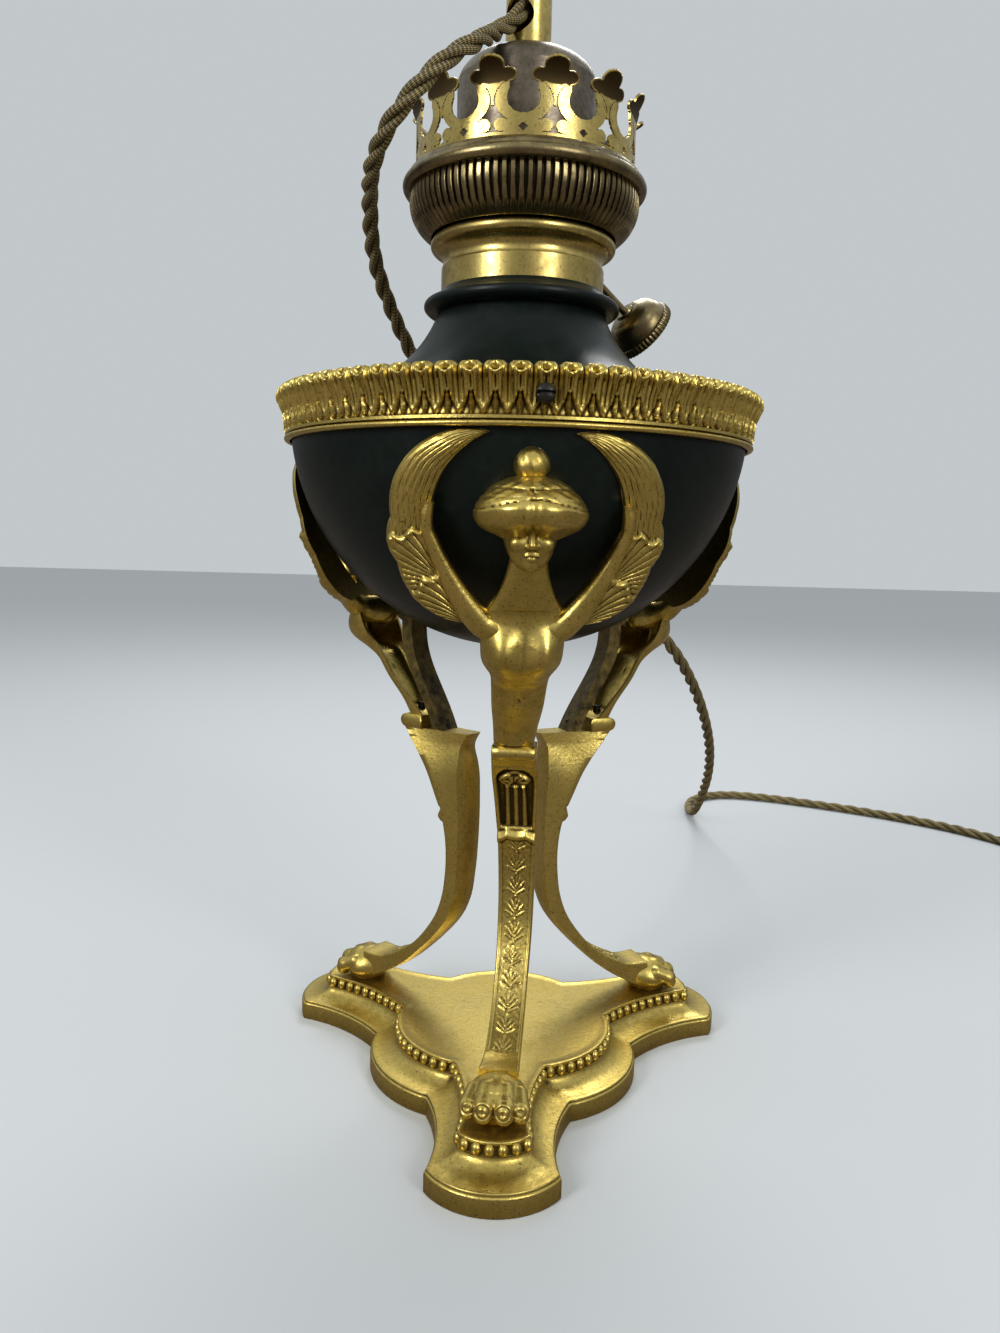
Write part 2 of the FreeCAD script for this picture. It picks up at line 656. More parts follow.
# Figures
def torso(width_share, depth_share, first, last):
    """A loft of half-round sections: a bowed front edge and a flat back edge."""
    wires = []
    for row in FIGURE_SECTION_SHARES[first:last + 1]:
        back_r, back_z, front_r, front_z, across = row
        back = V(back_r * FIGURE_REACH, 0, back_z * FIGURE_HEIGHT)
        front = V(front_r * FIGURE_REACH, 0, front_z * FIGURE_HEIGHT)
        front = front - (front - back).normalize() * FIGURE_WALL * depth_share
        side = V(0, (across * SHOULDER_WIDTH / 2) - FIGURE_WALL * width_share, 0)
        chest, lift = CHEST_SHARES
        chest_side = side * (2 * chest)
        chest_spot = back + (front - back) * (2 * lift)
        back = back - (front - back).normalize() * OVERRUN * width_share
        curve = Part.BSplineCurve()
        curve.interpolate([back - side, chest_spot - chest_side, front, chest_spot + chest_side, back + side])
        wires.append(Part.Wire([curve.toShape(), Part.LineSegment(back + side, back - side).toShape()]))
    return Part.makeLoft(wires, True, False)


def head():
    """A plain oval head under rolled hair, with a knot of hair on top."""

    def ring(radius, shares):
        reach, rise, sag = shares
        return radius * reach, HEAD_HEIGHT * rise, sag

    under = (HAIR_R * HAIR_UNDER_SHARE, HEAD_HEIGHT * CHEEK_SHARES[1])
    skull = spun((0, 0), ring(HEAD_R, JAW_SHARES), ring(HEAD_R, CHEEK_SHARES), under,
                 ring(HAIR_R, HAIR_BRIM_SHARES), ring(HAIR_R, HAIR_DOME_SHARES),
                 (0, HEAD_HEIGHT, CROWN_SAG_SHARE))
    bun = Part.makeSphere(BUN_R, V(0, 0, HEAD_HEIGHT + BUN_R * BUN_SEAT_SHARE))
    result = joined(skull, bun)
    result.translate(V(HEAD_REACH, 0, CHIN_HEIGHT))
    return result


def plain_figure():
    body = torso(0, 0, 0, len(FIGURE_SECTION_SHARES) - 1)
    hollow = torso(1, 1, HOLLOW_FIRST, HOLLOW_LAST)
    neck_foot = V(FIGURE_REACH * NECK_FOOT_SHARES[0], 0, FIGURE_HEIGHT * NECK_FOOT_SHARES[1])
    neck_head = V(HEAD_REACH, 0, CHIN_HEIGHT + HEAD_HEIGHT * CHEEK_SHARES[1])
    neck = Part.makeCone(NECK_R, NECK_TOP_R, (neck_head - neck_foot).Length, neck_foot, neck_head - neck_foot)
    figure = joined(less(body, hollow), neck, head())
    figure.translate(V(WAIST_REACH, 0, WAIST))
    return less(figure, dowel(WAIST_REACH, WAIST))


def figure_casting(azimuth):
    return largest(less(on_waist(plain_figure(), azimuth), ball(BOWL_R + FIGURE_GAP)))


def plain_wing():
    """One wing: an outline pressed through a thin round shell that leans with the bowl."""
    tilt = math.radians(WING_TILT)
    along = V(math.sin(tilt), 0, math.cos(tilt))
    out = V(math.cos(tilt), 0, -math.sin(tilt))
    root = V(WING_ROOT_REACH, 0, WAIST + WING_ROOT_HEIGHT)

    def place(shares):
        return root + V(0, shares[0] * WING_SPAN, 0) + along * (shares[1] * WING_HEIGHT) + out * OVERRUN

    edges = []
    here = place(WING_TIP_SHARES)
    for middle, end in WING_ARC_SHARES:
        edges.append(Part.Arc(here, place(middle), place(end)).toShape())
        here = place(end)
    edges.append(Part.LineSegment(here, place(WING_ROOT_SHARES)).toShape())
    here = place(WING_ROOT_SHARES)
    for middle, end in WING_INNER_SHARES:
        edges.append(Part.Arc(here, place(middle), place(end)).toShape())
        here = place(end)
    sag = WING_SPAN * WING_SPAN / WING_CURVE_R
    prism = Part.Face(Part.Wire(edges)).extrude(out * -(sag + WING_THICKNESS + 2 * OVERRUN))
    axis_foot = root - out * WING_CURVE_R - along * WING_HEIGHT
    outer = rod(WING_CURVE_R, 3 * WING_HEIGHT, axis_foot, along)
    inner = rod(WING_CURVE_R - WING_THICKNESS, 3 * WING_HEIGHT, axis_foot, along)
    return prism.common(outer).cut(inner)


def wings(azimuth):
    """A pair, brazed to the shoulders of its figure."""
    body = figure_casting(azimuth)
    one = plain_wing()
    pair = [one, one.mirror(ORIGIN, V(0, 1, 0))]
    placed = [less(on_waist(wing, azimuth), ball(BOWL_R + FIGURE_GAP), body) for wing in pair]
    return Part.Compound([largest(wing) for wing in placed])


# Bowl, ring, cover and font
def rim_screw():
    screw = slotted_screw(RIM_SCREW_HEAD_R, RIM_SCREW_HEAD_HEIGHT, RIM_SCREW_R, RIM_SCREW_REACH)
    return aimed(screw, V(BOWL_R + RING_BEAD, 0, BOWL_CENTRE - RIM_SCREW_DROP), V(1, 0, 0))


def rim_screws():
    return Part.Compound([turned(rim_screw(), a + RIM_SCREW_TURN) for a in FOOT_AZIMUTHS.values()])


def bowl():
    inner_r = BOWL_BORE_R
    shell = spun((0, BOWL_CENTRE - BOWL_R), (BOWL_R, BOWL_CENTRE, -QUARTER), (BOWL_R, BOWL_TOP),
                 (inner_r, BOWL_TOP), (inner_r, BOWL_CENTRE), (0, BOWL_CENTRE - inner_r, QUARTER))
    holes = []
    for azimuth in FOOT_AZIMUTHS.values():
        start = V(0, 0, BOWL_CENTRE) + arm_direction() * (BOWL_BORE_R - 2 * OVERRUN)
        hole = rod(BOWL_SCREW_R + SCREW_CLEARANCE, BOWL_WALL + 4 * OVERRUN, start, arm_direction())
        holes.append(on_leg(hole, azimuth))
    return less(shell, *holes, rim_holes(), bowl_screws())


def rim_holes():
    """Clearance for the screws through the ring and the bowl's wall."""
    start = V(BOWL_BORE_R - OVERRUN / 2, 0, BOWL_CENTRE - RIM_SCREW_DROP)
    hole = rod(RIM_SCREW_R + SCREW_CLEARANCE, RING_R, start, V(1, 0, 0))
    return Part.Compound([turned(hole, a + RIM_SCREW_TURN) for a in FOOT_AZIMUTHS.values()])


def rim_ring():
    bore = BOWL_R + RING_FIT
    foot = BOWL_CENTRE - RING_DROP
    top = BOWL_CENTRE + RING_RISE
    waist_r = bore + RING_BEAD
    face_sag, crown_sag = RING_SAG_SHARES
    profile = spun((bore, foot), (bore + RING_LIP, foot), (bore + RING_LIP, foot + RING_BEAD, -HALF),
                   (waist_r - RING_LIP / 2, foot + 2 * RING_BEAD), (RING_R, top - 2 * RING_CROWN, face_sag),
                   (RING_R - RING_CROWN, top, crown_sag), (BOWL_R - RING_LAP, top - RING_LIP / 2),
                   (BOWL_R - RING_LAP, BOWL_TOP + COVER_SHELF_GAP), (bore, BOWL_TOP + COVER_SHELF_GAP))
    start = V(BOWL_R + RING_BEAD, 0, BOWL_CENTRE - RIM_SCREW_DROP)
    seat = rod(RIM_SCREW_HEAD_R + SCREW_CLEARANCE, RING_R, start, V(1, 0, 0))
    seats = [turned(seat, a + RIM_SCREW_TURN) for a in FOOT_AZIMUTHS.values()]
    return less(profile, rim_holes(), *seats)


def shoulder_cover():
    """The dark cover: a beaded neck that sweeps out to a shelf and a skirt inside the bowl."""
    skirt_r = COVER_SKIRT_R
    shelf_z = COVER_EDGE + COVER_SHELF_RISE
    profile = spun((COLLAR_SPIGOT_R, COVER_TOP), (COLLAR_SPIGOT_R, THROAT - COVER_WALL),
                   (COVER_THROAT_R - COVER_WALL, THROAT - COVER_WALL),
                   (COVER_SHELF_R, shelf_z - COVER_WALL, -COVER_SAG_SHARE),
                   (skirt_r - COVER_WALL, COVER_EDGE - COVER_WALL),
                   (skirt_r - COVER_WALL, COVER_EDGE - COVER_SKIRT),
                   (skirt_r, COVER_EDGE - COVER_SKIRT), (skirt_r, COVER_EDGE),
                   (COVER_SHELF_R, shelf_z), (COVER_THROAT_R, THROAT, COVER_SAG_SHARE),
                   (COVER_BEAD_R - COVER_BEAD_HEIGHT / 3, THROAT + COVER_WALL / 2, QUARTER),
                   (COVER_BEAD_R, THROAT + COVER_BEAD_HEIGHT / 2, -QUARTER),
                   (COVER_BEAD_R - COVER_BEAD_HEIGHT / 3, COVER_TOP - COVER_WALL / 2, -QUARTER),
                   (COLLAR_R, COVER_TOP))
    tap = rod(RIM_SCREW_R, RING_R, V(skirt_r - 2 * COVER_WALL, 0, BOWL_CENTRE - RIM_SCREW_DROP), V(1, 0, 0))
    return less(profile, *[turned(tap, a + RIM_SCREW_TURN) for a in FOOT_AZIMUTHS.values()])


def font():
    """The oil vessel under the cover, its flange seamed to the skirt."""
    flange_r = COVER_SKIRT_R - COVER_WALL
    flange_z = BOWL_CENTRE - FONT_FLANGE_DROP
    foot = flange_z - FONT_DEPTH
    inner = FONT_R - FONT_WALL
    return spun((0, foot), (FONT_R - FONT_CORNER, foot), (FONT_R, foot + FONT_CORNER, -QUARTER),
                (FONT_R, flange_z - FONT_WALL), (flange_r, flange_z - FONT_WALL), (flange_r, flange_z),
                (inner, flange_z), (inner, foot + FONT_CORNER),
                (FONT_R - FONT_CORNER, foot + FONT_WALL, QUARTER), (0, foot + FONT_WALL))


# Collar and burner
def winder_line():
    """Where the winder's slanting shaft would meet the lamp's axis, and its direction outwards."""
    slope = math.radians(WINDER_SLOPE)
    direction = V(math.cos(slope), 0, -math.sin(slope))
    knob_z = COLLAR_TOP - KNOB_DROP
    return V(0, 0, knob_z + KNOB_REACH * math.tan(slope)), direction


def along_winder(reach):
    """The point of the shaft's line at this distance from the lamp's axis."""
    start, direction = winder_line()
    return start + direction * (reach / direction.x)


def winder_rod(radius, from_reach, to_reach):
    start = along_winder(from_reach)
    end = along_winder(to_reach)
    return rod(radius, (end - start).Length, start, end - start)


def at_winder(shape):
    return turned(shape, WINDER_AZIMUTH)


def collar():
    spigot_r = COLLAR_SPIGOT_R
    return spun((COLLAR_BORE_R, COVER_TOP - COLLAR_SPIGOT), (spigot_r, COVER_TOP - COLLAR_SPIGOT),
                (spigot_r, COVER_TOP), (COLLAR_R, COVER_TOP), (COLLAR_R, COLLAR_TOP),
                (COLLAR_BORE_R, COLLAR_TOP))


def burner_body():
    """A turned cup that screws into the collar, with a hollow moulding and a bead above it."""
    spigot_r = COLLAR_BORE_R
    inner = spigot_r - BURNER_WALL
    floor = BURNER_FLOOR
    cup = spun((WICK_TUBE_R, floor), (spigot_r, floor), (spigot_r, COLLAR_TOP), (COLLAR_R, COLLAR_TOP),
               (CAVETTO_R, TORUS_FOOT, CAVETTO_SAG_SHARE), (TORUS_R - TORUS_HEIGHT / 4, TORUS_FOOT),
               (TORUS_R - TORUS_HEIGHT / 4, BASKET_FOOT, -TORUS_SAG_SHARE), (inner, BASKET_FOOT),
               (inner, floor + BURNER_WALL), (WICK_TUBE_R, floor + BURNER_WALL))
    bush_hole = winder_rod(BUSH_R, BUSH_INNER_REACH - BUSH_R, BUSH_OUTER_REACH + BUSH_R)
    rack_slot = rack_space(floor - OVERRUN, BURNER_WALL + 2 * OVERRUN)
    return less(cup, at_winder(bush_hole), at_winder(rack_slot))


def winder_bush():
    tube = winder_rod(BUSH_R, BUSH_INNER_REACH, BUSH_OUTER_REACH)
    bore = winder_rod(SHAFT_R + RUNNING_GAP, BUSH_INNER_REACH - BUSH_R, BUSH_OUTER_REACH + BUSH_R)
    return at_winder(less(tube, bore))


def tooth_profile(pitch):
    """One tooth, flank to flank, on a flat line: half widths at the foot and at the tip."""
    return pitch * TOOTH_FOOT_SHARE / 2, pitch * TOOTH_TIP_SHARE / 2


def pinion():
    """The toothed wheel at the shaft's inner end, on +Z from the origin."""
    pitch = 2 * math.pi * PINION_R / PINION_TEETH
    foot_half, tip_half = tooth_profile(pitch)
    root_r = PINION_R - TOOTH_ROOT
    tip_r = PINION_R + TOOTH_RISE
    tooth_points = [V(root_r - OVERRUN, -foot_half, 0), V(tip_r, -tip_half, 0),
                    V(tip_r, tip_half, 0), V(root_r - OVERRUN, foot_half, 0)]
    tooth = Part.Face(Part.makePolygon(tooth_points + tooth_points[:1])).extrude(UP * PINION_WIDTH)
    teeth = [turned(tooth, 360 * index / PINION_TEETH) for index in range(PINION_TEETH)]
    return joined(rod(root_r, PINION_WIDTH), *teeth)


def on_shaft(shape, reach):
    """From the origin and +Z to the shaft's line, so that +X points sideways off the line."""
    start = along_winder(reach)
    direction = winder_line()[1]
    side = V(0, 1, 0)
    rotation = FreeCAD.Rotation(side, direction.cross(side), direction, "ZXY")
    result = shape.copy()
    result.Placement = FreeCAD.Placement(start, rotation)
    return result


def winder_shaft():
    """A shaft with the pinion cut on its inner end. The origin is in the middle of the pinion."""
    half = PINION_WIDTH / 2
    length = (along_winder(KNOB_REACH) - along_winder(PINION_REACH)).Length + half
    shaft = rod(SHAFT_R, length, V(0, 0, -half))
    wheel = pinion().translated(V(0, 0, -half))
    return at_winder(on_shaft(joined(shaft, wheel), PINION_REACH))


def winder_knob():
    """A mushroom knob: a neck, a domed back towards the burner and a milled rim."""
    hub = -KNOB_DOME - KNOB_NECK
    neck_sag, back_sag = KNOB_SAG_SHARES
    profile = spun((SHAFT_R, hub), (KNOB_NECK_R, hub), (KNOB_WAIST_R, -KNOB_DOME, neck_sag),
                   (KNOB_R, -KNOB_RIM / 2, back_sag), (KNOB_R, KNOB_RIM / 2),
                   (KNOB_R - KNOB_RIM / 2, KNOB_RIM, -QUARTER), (KNOB_DISH_R, KNOB_RIM - KNOB_DISH),
                   (0, KNOB_RIM - KNOB_DISH), (0, 0), (SHAFT_R, 0))
    groove = rod(KNURL_DEPTH, 3 * KNOB_RIM, V(KNOB_R, 0, -KNOB_RIM))
    grooves = [turned(groove, 360 * index / KNOB_KNURLS) for index in range(KNOB_KNURLS)]
    return at_winder(on_shaft(less(profile, *grooves), KNOB_REACH))


def rack_space(foot, height):
    """The upright slot that the rack slides in, beside the winder's shaft."""
    front = PINION_R - TOOTH_RISE - SLIDE_GAP
    depth = RACK_FACE + RACK_BACK + SLIDE_GAP - front
    return block(RACK_WIDTH + 2 * SLIDE_GAP, depth, height, PINION_REACH, front + depth / 2, foot)


def rack():
    """A bar with slanting teeth that lie along the shaft, in mesh with the pinion at rest."""
    slope = math.radians(WINDER_SLOPE)
    mesh_z = along_winder(PINION_REACH).z
    pitch = 2 * math.pi * PINION_R / PINION_TEETH / math.cos(slope)
    foot_half, tip_half = [half / math.cos(slope) for half in tooth_profile(pitch * math.cos(slope))]
    root_y = RACK_FACE
    tip_y = PINION_R - TOOTH_RISE
    half_x = RACK_WIDTH / 2
    rise = half_x * math.tan(slope)
    below = math.ceil(WICK_TRAVEL / pitch) + 1
    teeth = []
    for index in range(-below, 2):
        level = mesh_z + (index + MID) * pitch
        near = [V(-half_x, root_y, -foot_half), V(-half_x, tip_y, -tip_half),
                V(-half_x, tip_y, tip_half), V(-half_x, root_y, foot_half)]
        near = [point + V(PINION_REACH, 0, level + rise) for point in near]
        face = Part.Face(Part.makePolygon(near + near[:1]))
        teeth.append(face.extrude(V(RACK_WIDTH, 0, -2 * rise)))
    foot = mesh_z - (below + 1) * pitch
    bar = block(RACK_WIDTH, RACK_BACK, (below + 3) * pitch, PINION_REACH, root_y + RACK_BACK / 2, foot)
    return joined(bar, *teeth), foot


# Wick, tubes and carrier
def wick_gap(radius, foot, height):
    """A wedge on the side away from the winder, where the rolled wick's edges stay apart."""
    half = math.radians(WICK_GAP_ANGLE / 2)
    far = 2 * radius
    points = [V(0, 0, foot), V(-far * math.cos(half), far * math.sin(half), foot),
              V(-far * math.cos(half), -far * math.sin(half), foot)]
    return Part.Face(Part.makePolygon(points + points[:1])).extrude(V(0, 0, height))


def tube(outer_r, inner_r, foot, height):
    return rod(outer_r, height, V(0, 0, foot)).cut(rod(inner_r, height, V(0, 0, foot)))


def wick_tube():
    foot = BURNER_FLOOR
    outer = tube(WICK_TUBE_R, WICK_TUBE_R - WICK_TUBE_WALL, foot, WICK_TUBE_TOP - foot)
    port = block(2 * WICK_TUBE_R, PORT_WIDTH, PORT_HEIGHT, -WICK_TUBE_R, 0, PORT_FOOT)
    arm_foot, arm_height = carrier_arm_levels()
    slot_height = arm_height + WICK_TRAVEL + 2 * SLIDE_GAP
    slot = carrier_arm(arm_foot - SLIDE_GAP, slot_height, SLIDE_GAP)
    return at_winder(less(outer, port, slot))


def draught_tube():
    """The inner air tube, with the flat duct that lets air in through the wick's open seam."""
    foot = BURNER_FLOOR + BURNER_WALL
    height = WICK_TUBE_TOP - foot
    inner_r = DRAUGHT_TUBE_R - DRAUGHT_TUBE_WALL
    duct = block(WICK_TUBE_R, PORT_WIDTH, PORT_HEIGHT, -WICK_TUBE_R / 2, 0, PORT_FOOT)
    duct_bore = block(WICK_TUBE_R + OVERRUN, PORT_WIDTH - 2 * PORT_WALL, PORT_HEIGHT - 2 * PORT_WALL,
                      -(WICK_TUBE_R + OVERRUN) / 2, 0, PORT_FOOT + PORT_WALL)
    duct = duct.common(rod(WICK_TUBE_R, height, V(0, 0, foot)))
    body = joined(rod(DRAUGHT_TUBE_R, height, V(0, 0, foot)), duct)
    air = rod(inner_r, height, V(0, 0, foot + DRAUGHT_TUBE_WALL))
    return at_winder(less(body, air, duct_bore))


def wick():
    top = WICK_TUBE_TOP - WICK_TOP_DROP
    body = tube(WICK_R, WICK_BORE_R, top - WICK_LENGTH, WICK_LENGTH)
    return at_winder(less(body, wick_gap(WICK_R, top - WICK_LENGTH, WICK_LENGTH)))


def carrier_arm_levels():
    foot = BURNER_FLOOR + BURNER_WALL + SLIDE_GAP
    return foot, CARRIER_HEIGHT


def carrier_arm(foot, height, gap):
    """The flat arm from the carrier's ring out to the back of the rack."""
    root_y = RACK_FACE
    reach = PINION_REACH + RACK_WIDTH / 2
    inner = WICK_R - SLIDE_GAP
    arm = block(reach + gap, RACK_BACK + 2 * gap, height, (reach + gap) / 2, root_y + RACK_BACK / 2, foot)
    return less(arm, rod(inner, height, V(0, 0, foot)))


def wick_carrier():
    foot, height = carrier_arm_levels()
    ring = less(tube(CARRIER_R, WICK_R, foot, height), wick_gap(CARRIER_R, foot, height))
    arm = less(carrier_arm(foot, height, 0), rod(WICK_R, height, V(0, 0, foot)))
    bar, bar_foot = rack()
    trim = block(4 * PINION_REACH, 4 * PINION_REACH, foot - bar_foot + OVERRUN, 0, 0, bar_foot - OVERRUN)
    return at_winder(largest(joined(ring, arm, less(bar, trim))))


# Basket, gallery ring and pierced crown
def basket():
    inner = BASKET_WALL
    side_sag, lip_sag = BASKET_SAG_SHARES
    belly_z = BASKET_FOOT + BASKET_HEIGHT * BASKET_BELLY_SHARE
    top_z = BASKET_FOOT + BASKET_HEIGHT
    shell = spun((COLLAR_R, BASKET_FOOT), (BASKET_FOOT_R, BASKET_FOOT), (BASKET_R, belly_z, -side_sag),
                 (BASKET_TOP_R, FLANGE_FOOT, -lip_sag), (BASKET_TOP_R, top_z), (BASKET_TOP_R - inner, top_z),
                 (BASKET_TOP_R - inner, FLANGE_FOOT), (BASKET_R - inner, belly_z, lip_sag),
                 (BASKET_FOOT_R - inner, BASKET_FOOT + inner, side_sag), (COLLAR_R, BASKET_FOOT + inner))
    foot = BASKET_FOOT + BASKET_HEIGHT * SLOT_FOOT_SHARE + inner
    height = BASKET_HEIGHT * (SLOT_HEAD_SHARE - SLOT_FOOT_SHARE) - inner
    slot = block(BASKET_R, BASKET_SLOT_WIDTH, height, COLLAR_R + BASKET_R / 2, 0, foot)
    slots = [turned(slot, 360 * index / BASKET_SLOTS) for index in range(BASKET_SLOTS)]
    return less(shell, *slots)


def gallery_ring():
    """The rounded flange over the basket, with the floor plate that the dome stands on."""
    top = FLANGE_TOP
    basket_top = BASKET_FOOT + BASKET_HEIGHT
    side_sag, top_sag = FLANGE_SAG_SHARES
    return spun((FLOOR_BORE_R, top - FLOOR_PLATE), (BASKET_TOP_R - BASKET_WALL, top - FLOOR_PLATE),
                (BASKET_TOP_R - BASKET_WALL, basket_top), (BASKET_TOP_R + RING_FIT, basket_top),
                (BASKET_TOP_R + RING_FIT, FLANGE_FOOT), (FLANGE_R - FLANGE_LAP / 2, FLANGE_FOOT),
                (FLANGE_R - FLANGE_LAP / 2, FLANGE_FOOT + FLANGE_HEIGHT * FLANGE_BELLY_SHARE, side_sag),
                (GALLERY_R, top, top_sag), (FLOOR_BORE_R, top))


def gallery_angles(offset=0):
    return [360 * (index + offset) / GALLERY_UNITS for index in range(GALLERY_UNITS)]


def radial(shape_radius, side, height):
    """A round peg that points outwards through the gallery's wall."""
    return rod(shape_radius, GALLERY_R, V(GALLERY_R / 2, side, FLANGE_TOP + height), V(1, 0, 0))


def radial_prism(points):
    """A prism that points outwards, from its (side, height) corners."""
    corners = [V(GALLERY_R / 2, side, FLANGE_TOP + height) for side, height in points]
    return Part.Face(Part.makePolygon(corners + corners[:1])).extrude(V(GALLERY_R, 0, 0))


def gallery_crown():
    """A pierced band of open loops, and leaves of three lobes that bend outwards between them."""
    band = tube(GALLERY_R, GALLERY_R - GALLERY_WALL, FLANGE_TOP, GALLERY_BAND)
    half = DIAMOND / 2
    mouth = LOOP_MOUTH / 2
    hole_tools = []
    for angle in gallery_angles():
        diamond = radial_prism([(0, DIAMOND_HEIGHT - half), (half, DIAMOND_HEIGHT),
                                (0, DIAMOND_HEIGHT + half), (-half, DIAMOND_HEIGHT)])
        opening = radial_prism([(-mouth, LOOP_HEIGHT), (mouth, LOOP_HEIGHT),
                                (mouth, GALLERY_BAND + OVERRUN), (-mouth, GALLERY_BAND + OVERRUN)])
        hole_tools += [turned(tool, angle) for tool in (diamond, opening, radial(LOOP_R, 0, LOOP_HEIGHT))]
    for angle in gallery_angles(MID):
        kite = radial_prism([(-KITE_WIDTH / 2, KITE_FOOT), (KITE_WIDTH / 2, KITE_FOOT),
                             (0, KITE_FOOT + KITE_HEIGHT)])
        hole_tools.append(turned(kite, angle))
    band = less(band, *hole_tools)
    leaf_foot = GALLERY_BAND - LEAF_STEM
    leaf_top = leaf_foot + LEAF_HEIGHT
    cone_foot = V(0, 0, FLANGE_TOP + leaf_foot)
    cone = Part.makeCone(GALLERY_R, GALLERY_R + LEAF_FLARE, leaf_top - leaf_foot, cone_foot)
    cone_bore = Part.makeCone(GALLERY_R - GALLERY_WALL, GALLERY_R + LEAF_FLARE - GALLERY_WALL,
                              leaf_top - leaf_foot, cone_foot)
    flare = cone.cut(cone_bore)
    leaves = []
    for angle in gallery_angles(MID):
        stem = radial_prism([(-LEAF_STEM / 2, leaf_foot), (LEAF_STEM / 2, leaf_foot),
                             (LEAF_STEM / 2, leaf_foot + LEAF_TIP_RISE),
                             (-LEAF_STEM / 2, leaf_foot + LEAF_TIP_RISE)])
        lobes = [radial(LEAF_LOBE_R, LEAF_SPREAD, leaf_foot + LEAF_RISE + LEAF_LOBE_R),
                 radial(LEAF_LOBE_R, -LEAF_SPREAD, leaf_foot + LEAF_RISE + LEAF_LOBE_R),
                 radial(LEAF_LOBE_R, 0, leaf_foot + LEAF_TIP_RISE)]
        leaves.append(turned(joined(stem, *lobes), angle).common(flare))
    return joined(band, *leaves)


# Adapter dome, tube and lampholder
def adapter_dome():
    """A spun dome with a wide flange at its foot, where the oil lamp had its chimney."""
    out_share, up_share = DOME_SHOULDER_SHARES
    side_sag, top_sag = DOME_SAG_SHARES
    shoulder_r = TUBE_R + (DOME_R - TUBE_R) * out_share
    shoulder_z = DOME_SHOULDER + DOME_RISE * up_share
    wall = DOME_WALL
    return spun((DOME_FLANGE_R, DOME_FOOT), (DOME_FLANGE_R, DOME_FOOT + wall), (DOME_R, DOME_FOOT + wall),
                (DOME_R, DOME_SHOULDER), (shoulder_r, shoulder_z, -side_sag), (TUBE_R, DOME_TOP, -top_sag),
                (TUBE_R, DOME_TOP - wall), (shoulder_r - wall / 2, shoulder_z - wall, top_sag),
                (DOME_R - wall, DOME_SHOULDER, side_sag), (DOME_R - wall, DOME_FOOT))


def lamp_tube():
    foot = DOME_TOP - TUBE_FOOT
    body = tube(TUBE_R, TUBE_R - TUBE_WALL, foot, TUBE_LENGTH)
    hole = rod(TUBE_HOLE_R, 2 * TUBE_R, V(0, 0, DOME_TOP + TUBE_HOLE_RISE), V(1, 0, 0))
    return less(body, turned(hole, TUBE_HOLE_AZIMUTH))


def tube_nut():
    """The flat nut under the dome that clamps the tube."""
    corners = [FreeCAD.Rotation(UP, 60 * index).multVec(V(NUT_R, 0, 0)) for index in range(6)]
    top = DOME_TOP - DOME_WALL - NUT_DROP
    prism = Part.Face(Part.makePolygon(corners + corners[:1])).extrude(UP * NUT_HEIGHT)
    prism.translate(V(0, 0, top - NUT_HEIGHT))
    return less(prism, rod(TUBE_R, NUT_HEIGHT, V(0, 0, top - NUT_HEIGHT)))


def lampholder_cap():
    wall = HOLDER_WALL
    inner_r = HOLDER_R - wall
    sag = HOLDER_SAG_SHARE
    cap = spun((TUBE_R, HOLDER_FOOT), (HOLDER_NECK_R, HOLDER_FOOT), (HOLDER_NECK_R, TUBE_TOP),
               (HOLDER_R, HOLDER_SHOULDER, -sag), (HOLDER_R, HOLDER_TOP), (inner_r, HOLDER_TOP),
               (inner_r, HOLDER_SHOULDER), (HOLDER_NECK_R - wall, TUBE_TOP + wall, sag),
               (TUBE_R - TUBE_WALL, TUBE_TOP + wall), (TUBE_R - TUBE_WALL, TUBE_TOP), (TUBE_R, TUBE_TOP))
    return less(cap, push_rod(BAR_R + BAR_HOLE_GAP, 3 * BAR_LENGTH))


def push_rod(radius, length):
    return rod(radius, length, V(-length / 2, 0, HOLDER_SHOULDER + BAR_RISE), V(1, 0, 0))


def push_bar():
    """The switch's bar, pushed through from one side and back from the other."""
    return push_rod(BAR_R, BAR_LENGTH).translated(V(-BAR_TRAVEL / 2, 0, 0))


def plunger_places():
    return [V(0, side * PLUNGER_SPACING / 2, 0) for side in (-1, 1)]


def insulator():
    foot = HOLDER_SHOULDER
    body = rod(HOLDER_R - HOLDER_WALL, HOLDER_TOP - foot, V(0, 0, foot))
    nose = rod(SLEEVE_BORE_R, INSULATOR_TOP - foot, V(0, 0, foot))
    wells = [rod(PLUNGER_R + RUNNING_GAP, WELL_DEPTH + OVERRUN, place + V(0, 0, INSULATOR_TOP - WELL_DEPTH))
             for place in plunger_places()]
    return less(joined(body, nose), push_rod(BAR_R + RUNNING_GAP, 3 * BAR_LENGTH), *wells)


def plunger(side):
    """A spring-loaded contact with a rounded nose."""
    foot = INSULATOR_TOP - PLUNGER_BITE
    top = INSULATOR_TOP + PLUNGER_STAND
    body = spun((0, foot), (PLUNGER_R, foot), (PLUNGER_R, top - PLUNGER_NOSE),
                (PLUNGER_R - PLUNGER_NOSE, top, -QUARTER), (0, top))
    return body.translated(V(0, side * PLUNGER_SPACING / 2, 0))


def plunger_spring(side):
    """The space that a coiled spring fills at rest, from the well's floor to the plunger."""
    foot = INSULATOR_TOP - WELL_DEPTH
    spring = tube(SPRING_R, SPRING_R - SPRING_WALL, foot, WELL_DEPTH - PLUNGER_BITE)
    return spring.translated(V(0, side * PLUNGER_SPACING / 2, 0))


